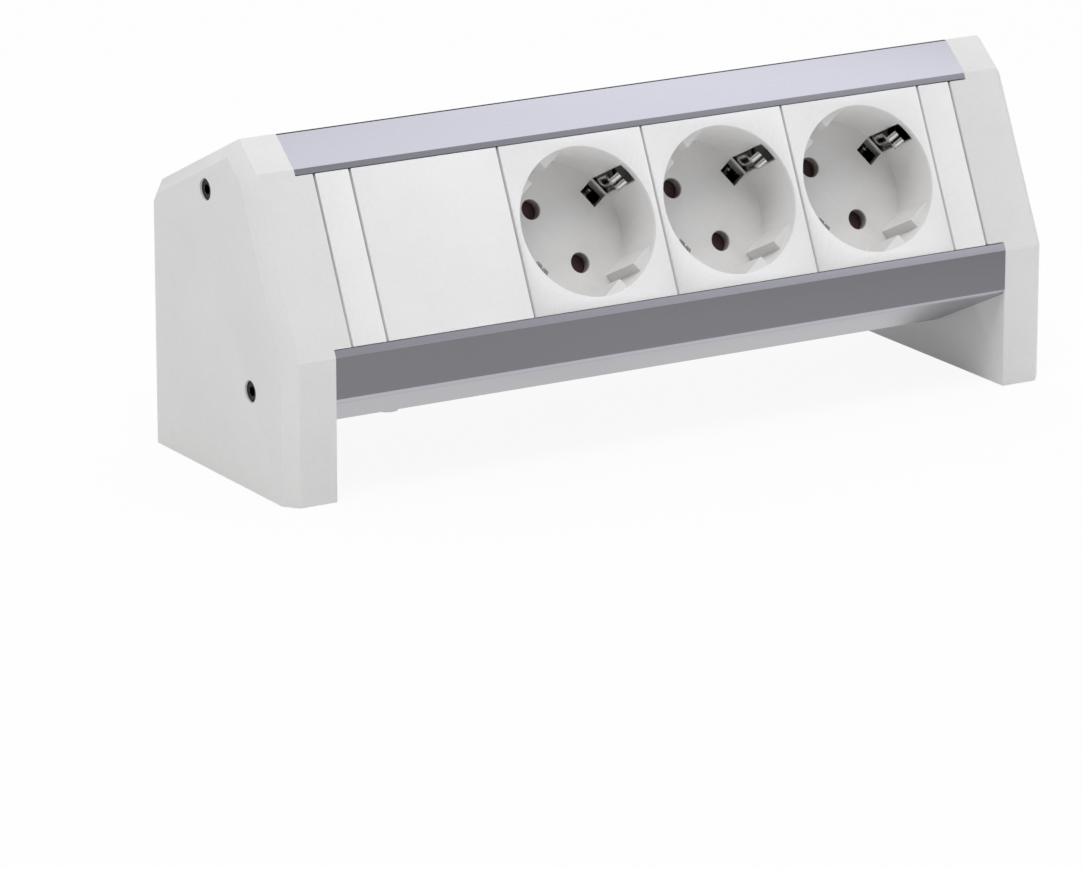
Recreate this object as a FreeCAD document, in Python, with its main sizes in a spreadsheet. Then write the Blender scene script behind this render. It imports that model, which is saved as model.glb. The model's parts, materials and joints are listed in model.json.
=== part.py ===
import FreeCAD, Part
import math
import os
import re
import Sketcher
from FreeCAD import Placement, Rotation, Vector

doc = FreeCAD.newDocument("DeskPowerStrip")

# Driving dimensions in millimetres and degrees.
SIZES = {
    # Outline of the end caps, seen from the side
    "overall_depth": 73.6,
    "front_height": 37.3,
    "slope_length": 48.5,
    "slope_angle": 64.8,
    "crest_run": 9.1,
    "crest_rise": 7.3,
    "rear_angle": 25.0,
    "rear_cut": 2.6,
    # End caps
    "cap_thickness": 13.7,
    "cap_chamfer_width": 3.2,
    "cap_chamfer_inset": 3.8,
    "cap_hollow_depth": 8.0,
    "cap_hollow_wall": 7.0,
    "cap_hollow_drop": 28.0,
    "tongue_depth": 8.0,
    "tongue_length": 5.3,
    # Extruded profile
    "wall_thickness": 2.0,
    "base_height": 11.0,
    "chin_height": 25.6,
    "rear_inset": 3.0,
    "bend_radius": 2.6,
    "crest_radius": 1.0,
    "lip_low": 2.0,
    "lip_high": 1.5,
    "boss_radius": 3.4,
    "boss_depth": 22.7,
    "boss_overhang": 1.9,
    "rib_thickness": 2.0,
    # Cap screws
    "screw_radius": 1.5,
    "screw_length": 18.0,
    "screw_head_radius": 2.75,
    "screw_head_height": 3.0,
    "screw_recess": 0.6,
    "hex_radius": 1.45,
    "hex_depth": 1.7,
    # Clearances
    "seat_clearance": 0.3,
    "edge_clearance": 0.2,
    "screw_clearance": 0.15,
    "thread_clearance": 0.05,
    "cut_margin": 1.0,
    # Modules
    "module_pitch": 42.9,
    "module_gap": 0.7,
    "spacer_width": 10.2,
    "flange_thickness": 1.5,
    "flange_inset": 0.4,
    "flange_gap": 0.1,
    "cover_rib": 3.2,
    # Socket wells
    "well_radius": 19.7,
    "well_depth": 17.7,
    "well_wall": 1.2,
    "floor_thickness": 3.0,
    "floor_margin": 0.6,
    "floor_inset": 1.8,
    "socket_turn": 34.8,
    "pin_spacing": 19.0,
    "pin_hole_radius": 2.75,
    "nose_chord": 16.8,
    "nose_start": 3.0,
    "nose_gap": 3.0,
    "nose_shoulder": 7.2,
    "slot_width": 5.6,
    "slot_start": 2.2,
    "slot_reach": 5.4,
    "slot_bar": 0.55,
    # Earth clips
    "clip_width": 3.8,
    "clip_thickness": 0.8,
    "clip_top": 2.7,
    "clip_knee": 4.7,
    "clip_heel": 12.0,
    "clip_bulge": 2.8,
    "clip_slit": 0.7,
    # Shutters
    "shutter_width": 7.0,
    "shutter_length": 28.0,
    "shutter_thickness": 1.5,
    "shutter_travel": 6.4,
    "rail_thickness": 1.2,
    "rail_lip": 1.2,
    "post_width": 2.3,
    "post_length": 2.2,
    "post_height": 2.8,
    "spring_offset": 4.25,
    "spring_radius": 1.3,
    "spring_wire": 0.25,
    "spring_turns": 8.0,
    "spring_seat": 13.0,
    # Contacts and bars
    "contact_radius": 3.1,
    "contact_bore": 2.45,
    "contact_length": 6.8,
    "contact_slit": 0.8,
    "contact_collar": 2.4,
    "bar_width": 5.0,
    "bar_thickness": 1.0,
    "earth_bar_width": 3.0,
    "bar_overhang": 6.0,
    "bar_tail": 9.3,
    # Housings behind the wells
    "housing_wall": 1.6,
    "notch_clearance": 0.6,
    "pillar_radius": 2.6,
    "pillar_inset": 4.0,
    "pilot_depth": 7.0,
    "tapping_radius": 1.1,
    "tapping_length": 15.0,
    "tapping_head_radius": 2.1,
    "tapping_head_height": 1.4,
    # Appliance inlet in the rear wall
    "inlet_height": 38.0,
    "inlet_flange_width": 31.0,
    "inlet_flange_height": 24.0,
    "inlet_flange_thickness": 2.2,
    "inlet_body_width": 27.0,
    "inlet_body_height": 19.8,
    "inlet_body_depth": 20.0,
    "inlet_recess_width": 24.4,
    "inlet_recess_height": 16.2,
    "inlet_recess_depth": 17.0,
    "inlet_corner": 4.2,
    "inlet_pin_pitch": 7.0,
    "inlet_pin_shift": 2.0,
    "inlet_pin_height": 4.0,
    "inlet_pin_width": 2.0,
    "inlet_pin_length": 14.5,
    "tab_length": 7.0,
    # Leads and bonding screw
    "lead_radius": 1.3,
    "lead_exit": 2.5,
    "lead_entry": 3.0,
    "lead_bow": 5.5,
    "bond_offset": 66.5,
    "bond_setback": 4.29,
    "bond_radius": 1.75,
    "bond_length": 6.0,
    "bond_head_radius": 2.9,
    "bond_head_height": 0.9,
    "bond_nut_width": 5.5,
    "bond_nut_height": 2.4,
}

sheet = doc.addObject("Spreadsheet::Sheet", "Sizes")
for row, (alias, number) in enumerate(SIZES.items(), start=1):
    sheet.set(f"A{row}", alias)
    sheet.set(f"B{row}", str(number))
    sheet.setAlias(f"B{row}", alias)
doc.recompute()

# Levels measured in from the sloping front, shared by the pieces behind it.
FACE_BACK = "(wall_thickness + seat_clearance)"
FLOOR_BACK = "(well_depth + floor_thickness)"
SHUTTER_TOP = f"({FLOOR_BACK} + seat_clearance)"
SHUTTER_BACK = f"({SHUTTER_TOP} + shutter_thickness)"
CONTACT_TOP = f"({SHUTTER_BACK} + seat_clearance)"
CLIP_BACK = f"({CONTACT_TOP} + clip_thickness)"
BAR_TOP = f"({CONTACT_TOP} + contact_length)"
BAR_BACK = f"({BAR_TOP} + bar_thickness)"
HOUSING_FLOOR = f"({BAR_BACK} + notch_clearance)"
HOUSING_BACK = f"({HOUSING_FLOOR} + housing_wall)"
CLIP_LEG = "(well_radius + edge_clearance)"

# Places along the length, across a socket module and up the slope.
SOCKET_CENTRE = "((lip_low + slope_length - lip_high) / 2)"
OPENING_HALF = "((slope_length - lip_low - lip_high) / 2)"
FLOOR_HALF_WIDTH = "(module_pitch / 2 - floor_margin)"
FLOOR_HALF_HEIGHT = f"({OPENING_HALF} - floor_inset)"
PROFILE_END = "(2 * module_pitch + spacer_width + tongue_length)"
CAP_END = f"({PROFILE_END} + cap_thickness)"
REAR_FACE = "(overall_depth - rear_inset)"
CHIN_RUN = "((chin_height - base_height) / tan(rear_angle))"
CREST_DEPTH = "(slope_length * cos(slope_angle) + crest_run)"
CREST_HEIGHT = "(front_height + slope_length * sin(slope_angle) + crest_rise)"

NEAR = 0.01
BEND_SHARE = 0.45
SKETCH_START = 10


def size(name):
    return float(getattr(sheet, name))


def cells(text):
    return re.sub(r"[a-z]+(?:_[a-z]+)+", lambda found: "Sizes." + found.group(0), text)


def bind(item, prop, text):
    item.setExpression(prop, cells(text))


# The opposite of an expression, for levels that lie below the slope.
def below(text):
    return f"0 - {text}"


# A point given by its distance up the slope and in from it, as depth and height.
def on_slope(up, inward):
    depth = f"({up}) * cos(slope_angle) + ({inward}) * sin(slope_angle)"
    height = f"front_height + ({up}) * sin(slope_angle) - ({inward}) * cos(slope_angle)"
    return depth, height


# Placement of a piece drawn on the side outline, with depth counted from the front.
def upright(along=0.0, depth=0.0, height=0.0):
    return Placement(Vector(along, depth - size("overall_depth") / 2, height), Rotation())


# Placement of a piece drawn in the plane of the slope, its Z pointing out of it.
def seated(along, up=0.0, inward=0.0, turn=0.0):
    lean = Rotation(Vector(1, 0, 0), size("slope_angle"))
    base = upright(along, 0.0, size("front_height")).Base + lean.multVec(Vector(0, up, -inward))
    return Placement(base, lean.multiply(Rotation(Vector(0, 0, 1), turn)))


def socket_centre():
    return (size("lip_low") + size("slope_length") - size("lip_high")) / 2


def chin_run():
    return (size("chin_height") - size("base_height")) / math.tan(math.radians(size("rear_angle")))


def cap_end():
    row = 2 * size("module_pitch") + size("spacer_width")
    return row + size("tongue_length") + size("cap_thickness")


def floor_back():
    return size("well_depth") + size("floor_thickness")


def contact_top():
    return floor_back() + 2 * size("seat_clearance") + size("shutter_thickness")


def bar_top():
    return contact_top() + size("contact_length")


def housing_back():
    return bar_top() + size("bar_thickness") + size("notch_clearance") + size("housing_wall")


def new_body(label, placement):
    body = doc.addObject("PartDesign::Body", label)
    body.Label = label
    body.Placement = placement
    return body


def new_sketch(body, role, lift="0", turn="0"):
    sketch = body.newObject("Sketcher::SketchObject", "Outline")
    support = next(item for item in body.Origin.OriginFeatures if item.Role == role)
    sketch.AttachmentSupport = [(support, "")]
    sketch.MapMode = "FlatFace"
    sketch.AttachmentOffset = Placement(Vector(), Rotation(Vector(0, 0, 1), 0))
    bind(sketch, "AttachmentOffset.Base.z", lift)
    if turn != "0":
        sketch.AttachmentOffset = Placement(Vector(), Rotation(Vector(0, 0, 1), 1))
        bind(sketch, "AttachmentOffset.Rotation.Angle", turn)
    return sketch


def fix(sketch, kind, geometry, point, text, now):
    index = sketch.addConstraint(Sketcher.Constraint(kind, -1, 1, geometry, point, now))
    sketch.setExpression(f"Constraints[{index}]", cells(text))


# A closed outline whose every corner is fixed by two expressions.
def draw_polygon(sketch, corners):
    count = len(corners)
    first = sketch.GeometryCount
    ring = [
        Vector(math.cos(2 * math.pi * i / count), math.sin(2 * math.pi * i / count), 0) * SKETCH_START
        for i in range(count)
    ]
    for i in range(count):
        sketch.addGeometry(Part.LineSegment(ring[i], ring[(i + 1) % count]), False)
    for i in range(count):
        sketch.addConstraint(Sketcher.Constraint("Coincident", first + i, 2, first + (i + 1) % count, 1))
    for i, (across, up) in enumerate(corners):
        fix(sketch, "DistanceX", first + i, 1, across, ring[i].x)
        fix(sketch, "DistanceY", first + i, 1, up, ring[i].y)


def draw_rectangle(sketch, left, right, low, high):
    draw_polygon(sketch, [(left, low), (right, low), (right, high), (left, high)])


def draw_circle(sketch, across, up, radius):
    index = sketch.addGeometry(Part.Circle(Vector(1, 1, 0), Vector(0, 0, 1), 1), False)
    fix(sketch, "DistanceX", index, 3, across, 1.0)
    fix(sketch, "DistanceY", index, 3, up, 1.0)
    row = sketch.addConstraint(Sketcher.Constraint("Radius", index, 1.0))
    sketch.setExpression(f"Constraints[{row}]", cells(radius))


def add_feature(body, kind, sketch, length, reverse):
    feature = body.newObject(kind, kind.split("::")[1])
    feature.Profile = sketch
    feature.Reversed = reverse
    bind(feature, "Length", length)
    return feature


def pad(body, sketch, length, reverse=False):
    return add_feature(body, "PartDesign::Pad", sketch, length, reverse)


def pocket(body, sketch, length, reverse=False):
    return add_feature(body, "PartDesign::Pocket", sketch, length, reverse)


def box(label, width, depth, height, placement):
    block = doc.addObject("Part::Box", label)
    bind(block, "Length", width)
    bind(block, "Width", depth)
    bind(block, "Height", height)
    block.Placement = placement
    return block


def cylinder(label, radius, height, placement):
    rod = doc.addObject("Part::Cylinder", label)
    bind(rod, "Radius", radius)
    bind(rod, "Height", height)
    rod.Placement = placement
    return rod


def joined(label, first, second, placement=None):
    result = doc.addObject("Part::Fuse", label)
    result.Base = first
    result.Tool = second
    result.Placement = placement or Placement()
    return result


def without(label, first, second, placement=None):
    result = doc.addObject("Part::Cut", label)
    result.Base = first
    result.Tool = second
    result.Placement = placement or Placement()
    return result


def group(label, items):
    result = doc.addObject("Part::Compound", label)
    result.Links = items
    return result


# Corner points of the side outline of the caps, from the front foot upwards.
def cap_corners():
    cut = "(overall_depth - rear_cut)"
    cut_height = f"{CREST_HEIGHT} - ({cut} - {CREST_DEPTH}) * tan(rear_angle)"
    return [
        ("0", "0"),
        ("0", "front_height"),
        on_slope("slope_length", "0"),
        (CREST_DEPTH, CREST_HEIGHT),
        (cut, cut_height),
        ("overall_depth", f"{cut_height} - rear_cut * tan(rear_angle / 2 + 45)"),
        ("overall_depth", "0"),
    ]


# Corner points of the profile, which shares the cap's front and top.
def profile_corners():
    rear_height = f"{CREST_HEIGHT} - ({REAR_FACE} - {CREST_DEPTH}) * tan(rear_angle)"
    return [
        ("0", "front_height"),
        on_slope("slope_length", "0"),
        (CREST_DEPTH, CREST_HEIGHT),
        (REAR_FACE, rear_height),
        (REAR_FACE, "base_height"),
        (CHIN_RUN, "base_height"),
        ("0", "chin_height"),
    ]


# The two screw axes through caps and profile, behind both ends of the slope.
SCREW_PLACES = [
    on_slope("slope_length + boss_overhang", "boss_depth"),
    on_slope("0 - boss_overhang", "boss_depth"),
]


def screw_axes():
    lean = Rotation(Vector(1, 0, 0), size("slope_angle"))
    overhang = size("boss_overhang")
    base = Vector(0, 0, size("front_height"))
    ups = (size("slope_length") + overhang, -overhang)
    return [base + lean.multVec(Vector(0, up, -size("boss_depth"))) for up in ups]


# Names of the edges along the length that pass through one point of the outline.
def edges_along(shape, places):
    names = []
    for index, edge in enumerate(shape.Edges, start=1):
        middle = edge.BoundBox.Center
        if abs(edge.BoundBox.XLength - edge.Length) > NEAR:
            continue
        for depth, height in places:
            if abs(middle.y - depth) < NEAR and abs(middle.z - height) < NEAR:
                names.append(f"Edge{index}")
    return names


def add_rounding(body, base, places, radius):
    rounded = body.newObject("PartDesign::Fillet", "Rounding")
    rounded.Base = (base, edges_along(base.Shape, places))
    bind(rounded, "Radius", radius)
    doc.recompute()
    return rounded


def make_profile():
    body = new_body("profile", upright())
    sketch = new_sketch(body, "YZ_Plane", below(PROFILE_END))
    draw_polygon(sketch, profile_corners())
    block = pad(body, sketch, f"2 * {PROFILE_END}")
    doc.recompute()

    rear = size("overall_depth") - size("rear_inset")
    bends = [(0.0, size("chin_height")), (chin_run(), size("base_height")), (rear, size("base_height"))]
    rounded = add_rounding(body, block, bends, "bend_radius")

    ends = [
        f"Face{index}"
        for index, face in enumerate(rounded.Shape.Faces, start=1)
        if abs(face.normalAt(0, 0).x) > 1 - NEAR
    ]
    shell = body.newObject("PartDesign::Thickness", "Walls")
    shell.Base = (rounded, ends)
    shell.Reversed = True
    shell.Join = "Intersection"
    bind(shell, "Value", "wall_thickness")
    doc.recompute()
    slope = math.radians(size("slope_angle"))
    crest_depth = size("slope_length") * math.cos(slope) + size("crest_run")
    crest_height = size("front_height") + size("slope_length") * math.sin(slope) + size("crest_rise")
    add_rounding(body, shell, [(crest_depth, crest_height)], "crest_radius")

    front = new_sketch(body, "YZ_Plane", below(PROFILE_END))
    high = "slope_length - lip_high"
    reach = "wall_thickness * 2"
    corners = [("lip_low", below(reach)), ("lip_low", reach), (high, reach), (high, below(reach))]
    draw_polygon(front, [on_slope(up, inward) for up, inward in corners])
    pocket(body, front, f"2 * {PROFILE_END}", reverse=True)

    bosses = new_sketch(body, "YZ_Plane", below(PROFILE_END))
    for depth, height in SCREW_PLACES:
        draw_circle(bosses, depth, height, "boss_radius")
    pad(body, bosses, f"2 * {PROFILE_END}")

    ribs = new_sketch(body, "YZ_Plane", below(PROFILE_END))
    (top_depth, top_height), (low_depth, low_height) = SCREW_PLACES
    half = "rib_thickness / 2"
    roof = f"{CREST_HEIGHT} - (({top_depth}) - {CREST_DEPTH}) * tan(rear_angle) - wall_thickness"
    draw_rectangle(ribs, f"({top_depth}) - {half}", f"({top_depth}) + {half}", top_height, roof)
    sill = f"chin_height - ({low_depth}) * tan(rear_angle) + wall_thickness"
    draw_rectangle(ribs, f"({low_depth}) - {half}", f"({low_depth}) + {half}", sill, low_height)
    pad(body, ribs, f"2 * {PROFILE_END}")

    bores = new_sketch(body, "YZ_Plane", below(PROFILE_END))
    for depth, height in SCREW_PLACES:
        draw_circle(bores, depth, height, "screw_radius + thread_clearance")
    pocket(body, bores, f"2 * {PROFILE_END}", reverse=True)

    window = new_sketch(body, "XZ_Plane", below(f"({REAR_FACE} + cut_margin)"))
    middle = "0 - 1.5 * module_pitch"
    draw_rectangle(
        window,
        f"{middle} - inlet_body_width / 2 - edge_clearance",
        f"{middle} + inlet_body_width / 2 + edge_clearance",
        "inlet_height - inlet_body_height / 2 - edge_clearance",
        "inlet_height + inlet_body_height / 2 + edge_clearance",
    )
    pocket(body, window, "wall_thickness + 2 * cut_margin", reverse=True)

    hole = new_sketch(body, "XY_Plane", "base_height + wall_thickness + cut_margin")
    draw_circle(hole, "0 - bond_offset", f"{CHIN_RUN} + bond_setback", "bond_radius + screw_clearance")
    pocket(body, hole, "wall_thickness + 2 * cut_margin")
    return body


def make_cap(label, side):
    body = new_body(label, upright())
    sign = "" if side > 0 else "0 - "
    back = side < 0
    outline = new_sketch(body, "YZ_Plane", f"{sign}{PROFILE_END}")
    draw_polygon(outline, cap_corners())
    block = pad(body, outline, "cap_thickness", reverse=back)
    doc.recompute()

    face = side * cap_end()
    rim = [
        f"Edge{index}"
        for index, edge in enumerate(block.Shape.Edges, start=1)
        if abs(edge.BoundBox.Center.x - face) < NEAR < edge.BoundBox.Center.z
    ]
    bevel = body.newObject("PartDesign::Chamfer", "Bevel")
    bevel.Base = (block, rim)
    bevel.ChamferType = "Two distances"
    bind(bevel, "Size", "cap_chamfer_inset")
    bind(bevel, "Size2", "cap_chamfer_width")
    bevel.FlipDirection = True

    tongue = new_sketch(body, "YZ_Plane", f"{sign}{PROFILE_END}")
    low = "lip_low + edge_clearance"
    high = "slope_length - lip_high - edge_clearance"
    corners = [(low, "0"), (low, "tongue_depth"), (high, "tongue_depth"), (high, "0")]
    draw_polygon(tongue, [on_slope(up, inward) for up, inward in corners])
    pad(body, tongue, "tongue_length - module_gap / 2", reverse=not back)

    hollow = new_sketch(body, "YZ_Plane", f"{sign}{PROFILE_END}")
    draw_rectangle(
        hollow,
        CREST_DEPTH,
        f"{REAR_FACE} - cap_hollow_wall",
        "base_height + cap_hollow_wall",
        f"{CREST_HEIGHT} - cap_hollow_drop",
    )
    pocket(body, hollow, "cap_hollow_depth", reverse=not back)

    bores = new_sketch(body, "YZ_Plane", f"{sign}{PROFILE_END}")
    recesses = new_sketch(body, "YZ_Plane", f"{sign}{CAP_END}")
    for depth, height in SCREW_PLACES:
        draw_circle(bores, depth, height, "screw_radius + screw_clearance")
        draw_circle(recesses, depth, height, "screw_head_radius + screw_clearance")
    pocket(body, bores, "cap_thickness", reverse=not back)
    pocket(body, recesses, "screw_head_height + screw_recess", reverse=back)
    return body


# A socket-head screw along its own Z, the head's top at the origin.
def make_socket_screw(name, placement):
    head = cylinder(f"{name}_head", "screw_head_radius", "screw_head_height", Placement())
    shank = cylinder(f"{name}_shank", "screw_radius", "screw_head_height + screw_length", Placement())
    blank = joined(f"{name}_blank", head, shank)
    drive = doc.addObject("Part::Prism", f"{name}_drive")
    drive.Polygon = 6
    bind(drive, "Circumradius", "hex_radius")
    bind(drive, "Height", "hex_depth")
    return without(name, blank, drive, placement)


def make_cap_screws(label, side):
    along = side * (cap_end() - size("screw_recess"))
    lean = Rotation(Vector(0, 1, 0), -90 * side)
    screws = []
    for number, axis in enumerate(screw_axes(), start=1):
        base = upright(along, axis.y, axis.z).Base
        screws.append(make_socket_screw(f"{label}_{number}", Placement(base, lean)))
    return group(label, screws)


# The front plate that sits between the lips, and the flange behind them.
def add_front_plate(body, width):
    half = f"({width}) / 2"
    plate = new_sketch(body, "XY_Plane")
    height = f"{OPENING_HALF} - edge_clearance"
    inner = f"{half} - module_gap / 2"
    draw_rectangle(plate, below(f"({inner})"), inner, below(f"({height})"), height)
    pad(body, plate, FACE_BACK, reverse=True)

    flange = new_sketch(body, "XY_Plane", below(FACE_BACK))
    side = f"{half} - flange_gap / 2"
    low = f"flange_inset - {SOCKET_CENTRE}"
    high = f"slope_length - flange_inset - {SOCKET_CENTRE}"
    draw_rectangle(flange, below(f"({side})"), side, low, high)
    pad(body, flange, "flange_thickness", reverse=True)


def make_cover(label, along, width):
    body = new_body(label, seated(along, socket_centre()))
    add_front_plate(body, width)
    rib = new_sketch(body, "XY_Plane", below(f"({FACE_BACK} + flange_thickness)"))
    half = f"({width}) / 2 - housing_wall"
    reach = f"{OPENING_HALF} - housing_wall"
    outer = [below(f"({half})"), half, below(f"({reach})"), reach]
    draw_rectangle(rib, *outer)
    draw_rectangle(
        rib,
        f"0 - ({half}) + housing_wall",
        f"{half} - housing_wall",
        f"0 - ({reach}) + housing_wall",
        f"{reach} - housing_wall",
    )
    pad(body, rib, "cover_rib", reverse=True)
    return body


# The lobes beside the pin axis that key the plug, drawn in the socket's turned frame.
def draw_noses(sketch):
    ring = "(well_radius + well_wall / 2)"
    for side in ("", "0 - "):
        for hand in ("", "0 - "):
            back = [
                (f"{hand}{spot}", f"{side}sqrt({ring}^2 - {spot}^2)")
                for spot in ("nose_gap", "nose_shoulder")
            ]
            near = (f"{hand}nose_gap", f"{side}nose_chord")
            far = (f"{hand}sqrt({ring}^2 - nose_chord^2)", f"{side}nose_chord")
            draw_polygon(sketch, [near, *back, far])


# The floor's outline, which the housing behind it shares, less a wall all round.
def draw_floor(sketch, wall="0"):
    across = f"({FLOOR_HALF_WIDTH} - {wall})"
    up = f"({FLOOR_HALF_HEIGHT} - {wall})"
    draw_rectangle(sketch, below(across), across, below(up), up)


def make_insert(label, along):
    body = new_body(label, seated(along, socket_centre()))
    add_front_plate(body, "module_pitch")

    tube = new_sketch(body, "XY_Plane", below(FACE_BACK))
    draw_circle(tube, "0", "0", "well_radius + well_wall")
    pad(body, tube, f"{FLOOR_BACK} - {FACE_BACK}", reverse=True)
    floor = new_sketch(body, "XY_Plane", "0 - well_depth")
    draw_floor(floor)
    pad(body, floor, "floor_thickness", reverse=True)
    bore = new_sketch(body, "XY_Plane")
    draw_circle(bore, "0", "0", "well_radius")
    pocket(body, bore, "well_depth")

    noses = new_sketch(body, "XY_Plane", "0 - nose_start", "socket_turn")
    draw_noses(noses)
    pad(body, noses, "well_depth - nose_start + floor_thickness / 2", reverse=True)

    holes = new_sketch(body, "XY_Plane", "0 - well_depth", "socket_turn")
    draw_circle(holes, "0", "pin_spacing / 2", "pin_hole_radius")
    draw_circle(holes, "0", "0 - pin_spacing / 2", "pin_hole_radius")
    pocket(body, holes, "floor_thickness")

    add_clip_slots(body)
    add_shutter_rails(body)
    add_screw_bosses(body)
    return body


# Openings for the earth clip, on both sides: up the wall, down past the floor for its
# leg, and in the floor, where a narrow bar is left between the two.
def add_clip_slots(body):
    floor_slots = new_sketch(body, "XY_Plane", "0 - well_depth", "socket_turn")
    wall_slots = new_sketch(body, "XY_Plane", "0 - slot_start", "socket_turn")
    half = "slot_width / 2"
    behind = f"({CLIP_LEG} + clip_thickness + seat_clearance)"
    spans = [
        (floor_slots, "(well_radius - slot_reach)", "(well_radius - slot_bar)"),
        (floor_slots, "well_radius", behind),
        (wall_slots, "(well_radius - well_wall)", behind),
    ]
    for sketch, near, far in spans:
        for sign in ("", "0 - "):
            draw_rectangle(sketch, f"{sign}{near}", f"{sign}{far}", below(half), half)
    pocket(body, floor_slots, "floor_thickness")
    pocket(body, wall_slots, "well_depth - slot_start")


# Rails under the floor that carry the shutter, and the seat of its spring.
def add_shutter_rails(body):
    end = "shutter_length / 2"
    outer = f"{end} + seat_clearance + rail_thickness"
    back = "0 - shutter_width / 2 - seat_clearance"
    front = "shutter_width / 2 + shutter_travel"
    walls = new_sketch(body, "XY_Plane", below(FLOOR_BACK), "socket_turn")
    lips = new_sketch(body, "XY_Plane", below(CONTACT_TOP), "socket_turn")
    for side in ("", "0 - "):
        draw_rectangle(walls, back, front, f"{side}({end} + seat_clearance)", f"{side}({outer})")
        draw_rectangle(lips, back, front, f"{side}({end} - rail_lip)", f"{side}({outer})")
    seat = "spring_seat + rail_thickness"
    low = "spring_offset - spring_radius"
    high = "spring_offset + spring_radius"
    pad(body, walls, f"{CONTACT_TOP} - {FLOOR_BACK}", reverse=True)
    pad(body, lips, "rail_thickness", reverse=True)
    stop = new_sketch(body, "XY_Plane", below(FLOOR_BACK), "socket_turn")
    draw_rectangle(stop, "spring_seat", seat, low, high)
    pad(body, stop, f"{CONTACT_TOP} - {FLOOR_BACK} + 2 * spring_radius", reverse=True)


# Two opposite corners where the housing's screws go in.
def draw_corner_circles(sketch, radius):
    across = f"({FLOOR_HALF_WIDTH} - pillar_inset)"
    up = f"({FLOOR_HALF_HEIGHT} - pillar_inset)"
    draw_circle(sketch, below(across), up, radius)
    draw_circle(sketch, across, below(up), radius)


def add_screw_bosses(body):
    bosses = new_sketch(body, "XY_Plane", "0 - well_depth")
    draw_corner_circles(bosses, "pillar_radius")
    pad(body, bosses, "pilot_depth")
    holes = new_sketch(body, "XY_Plane", below(FLOOR_BACK))
    draw_corner_circles(holes, "tapping_radius + thread_clearance")
    pocket(body, holes, "pilot_depth", reverse=True)


def make_housing(label, along):
    body = new_body(label, seated(along, socket_centre()))
    outer = new_sketch(body, "XY_Plane", below(FLOOR_BACK))
    draw_floor(outer)
    pad(body, outer, f"{HOUSING_BACK} - {FLOOR_BACK}", reverse=True)
    inner = new_sketch(body, "XY_Plane", below(FLOOR_BACK))
    draw_floor(inner, "housing_wall")
    pocket(body, inner, f"{HOUSING_FLOOR} - {FLOOR_BACK}")

    pillars = new_sketch(body, "XY_Plane", below(FLOOR_BACK))
    draw_corner_circles(pillars, "pillar_radius")
    pad(body, pillars, f"{HOUSING_FLOOR} - {FLOOR_BACK}", reverse=True)
    holes = new_sketch(body, "XY_Plane", below(FLOOR_BACK))
    draw_corner_circles(holes, "tapping_radius + screw_clearance")
    pocket(body, holes, f"{HOUSING_BACK} - {FLOOR_BACK}")

    rise = "pin_spacing / 2 * cos(socket_turn)"
    live_depth = f"{HOUSING_FLOOR} - {FLOOR_BACK}"
    earth_depth = f"{CLIP_BACK} + bar_thickness + notch_clearance - {FLOOR_BACK}"
    notches = [
        (f"0 - {rise}", "bar_width", live_depth),
        ("0", "earth_bar_width", earth_depth),
        (rise, "bar_width", live_depth),
    ]
    for middle, width, depth in notches:
        notch = new_sketch(body, "XY_Plane", below(FLOOR_BACK))
        half = f"({width} / 2 + notch_clearance)"
        draw_rectangle(notch, "0 - module_pitch", "module_pitch", f"{middle} - {half}", f"{middle} + {half}")
        pocket(body, notch, depth)
    return body


def make_housing_screws(label, along):
    across = size("module_pitch") / 2 - size("floor_margin") - size("pillar_inset")
    opening = size("slope_length") - size("lip_low") - size("lip_high")
    up = opening / 2 - size("floor_inset") - size("pillar_inset")
    screws = []
    for number, (x, y) in enumerate(((-across, up), (across, -up)), start=1):
        name = f"{label}_{number}"
        head = cylinder(f"{name}_head", "tapping_head_radius", "tapping_head_height", Placement())
        length = "tapping_head_height + tapping_length"
        shank = cylinder(f"{name}_shank", "tapping_radius", length, Placement())
        place = seated(along + x, socket_centre() + y, housing_back() + size("tapping_head_height"))
        screws.append(joined(name, head, shank, place))
    return group(label, screws)


# One bent strip: across under the floor, up both slots, and in where its two ends, each
# slit into a pair of fingers, grip the plug.
def make_clip(label, along):
    body = new_body(label, seated(along, socket_centre(), turn=size("socket_turn")))
    sketch = new_sketch(body, "XZ_Plane", "0 - clip_width / 2")
    leg = f"({CLIP_LEG} + clip_thickness)"
    knee = "(well_radius - clip_bulge)"
    outside = [(CLIP_LEG, "clip_top"), (knee, "clip_knee"), (leg, "clip_heel"), (leg, CLIP_BACK)]
    inside = [
        (CLIP_LEG, CONTACT_TOP),
        (CLIP_LEG, "clip_heel"),
        (f"({knee} - clip_thickness)", "clip_knee"),
        (f"({CLIP_LEG} - clip_thickness)", "clip_top"),
    ]
    left = [(below(reach), level) for reach, level in outside[::-1] + inside[::-1]]
    corners = outside + left + inside
    draw_polygon(sketch, [(reach, below(level)) for reach, level in corners])
    pad(body, sketch, "clip_width")
    slit = new_sketch(body, "XY_Plane", below("clip_top") + " + cut_margin")
    half = "clip_slit / 2"
    end = f"({leg} + cut_margin)"
    draw_rectangle(slit, below(end), end, below(half), half)
    pocket(body, slit, "clip_heel - clip_top + cut_margin")
    return body


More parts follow.
